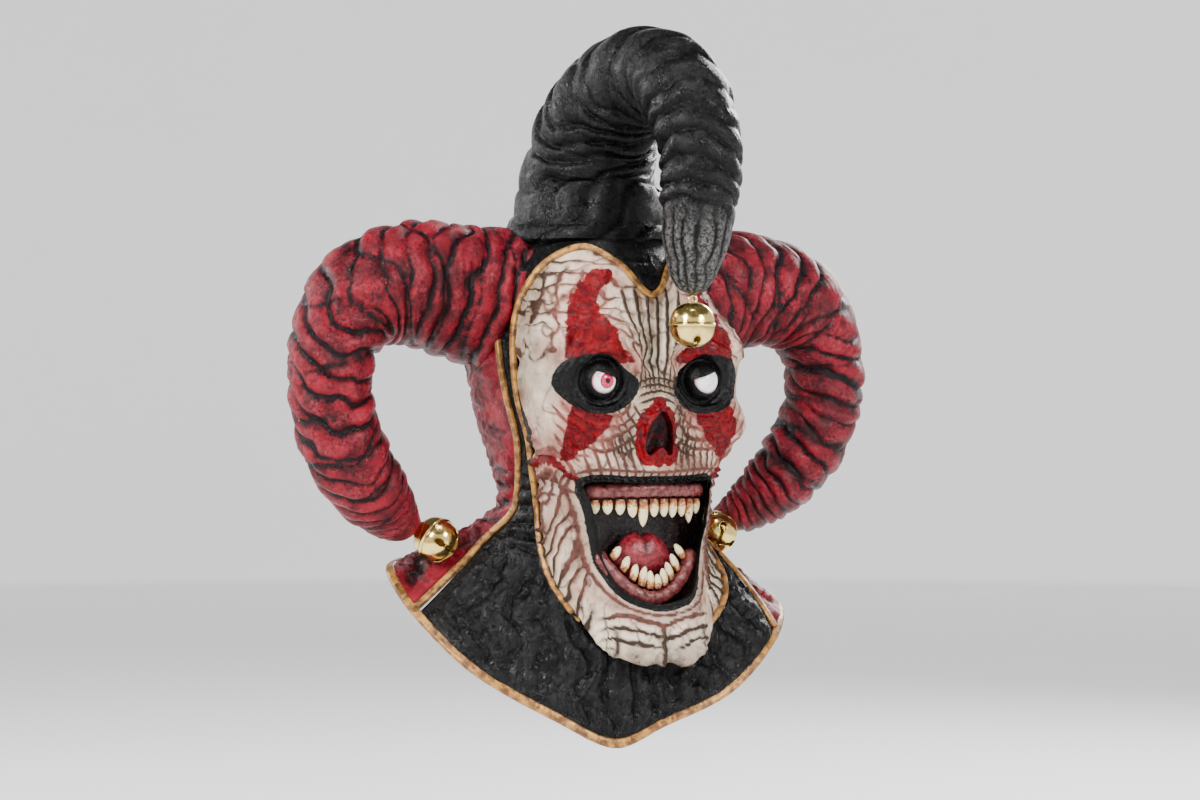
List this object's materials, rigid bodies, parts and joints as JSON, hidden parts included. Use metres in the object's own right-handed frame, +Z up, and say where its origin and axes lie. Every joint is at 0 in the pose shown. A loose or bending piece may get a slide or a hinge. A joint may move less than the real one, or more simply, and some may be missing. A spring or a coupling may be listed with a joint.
{
  "type": "jester mask",
  "caption": "Full-head latex carnival mask: grinning clown skull face in a black and red jester cowl, with curled horns, round bells and a flared collar.",
  "frame": {"origin": "inside the crown of the cowl, where the top of the wearer's head sits", "axes": "+Z up, the face looks along -Y, +X to the wearer's left"},
  "size_m": [0.4864, 0.2841, 0.5239],
  "materials": {
    "bone_latex": "satin",
    "black_latex": "satin",
    "red_latex": "satin",
    "gold_paint": "satin metallic paint",
    "brass": "polished",
    "eye": "glossy",
    "gum": "satin",
    "tooth": "glossy",
    "tongue": "satin"
  },
  "bodies": {
    "root": {"cowl_front": "black_latex", "cowl_back": "red_latex", "face_trim": "gold_paint", "seam_trim_right": "gold_paint", "seam_trim_left": "gold_paint", "hem_trim": "gold_paint", "face": "bone_latex", "eye_right": "eye", "eye_left": "eye", "horn_right": "red_latex", "bell_right": "brass", "bell_ball_right": "brass", "horn_left": "red_latex", "bell_left": "brass", "bell_ball_left": "brass", "horn_top": "black_latex", "bell_top": "brass", "bell_ball_top": "brass", "mouth_lining": "black_latex", "gum_upper": "gum", "gum_lower": "gum", "tongue": "tongue", "tooth_upper_01": "tooth", "tooth_upper_02": "tooth", "tooth_upper_03": "tooth", "tooth_upper_04": "tooth", "tooth_upper_05": "tooth", "tooth_upper_06": "tooth", "tooth_upper_07": "tooth", "tooth_upper_08": "tooth", "tooth_upper_09": "tooth", "tooth_upper_10": "tooth", "tooth_upper_11": "tooth", "tooth_lower_01": "tooth", "tooth_lower_02": "tooth", "tooth_lower_03": "tooth", "tooth_lower_04": "tooth", "tooth_lower_05": "tooth", "tooth_lower_06": "tooth", "tooth_lower_07": "tooth", "tooth_lower_08": "tooth", "tooth_lower_09": "tooth", "tooth_lower_10": "tooth"}
  },
  "joints": []
}
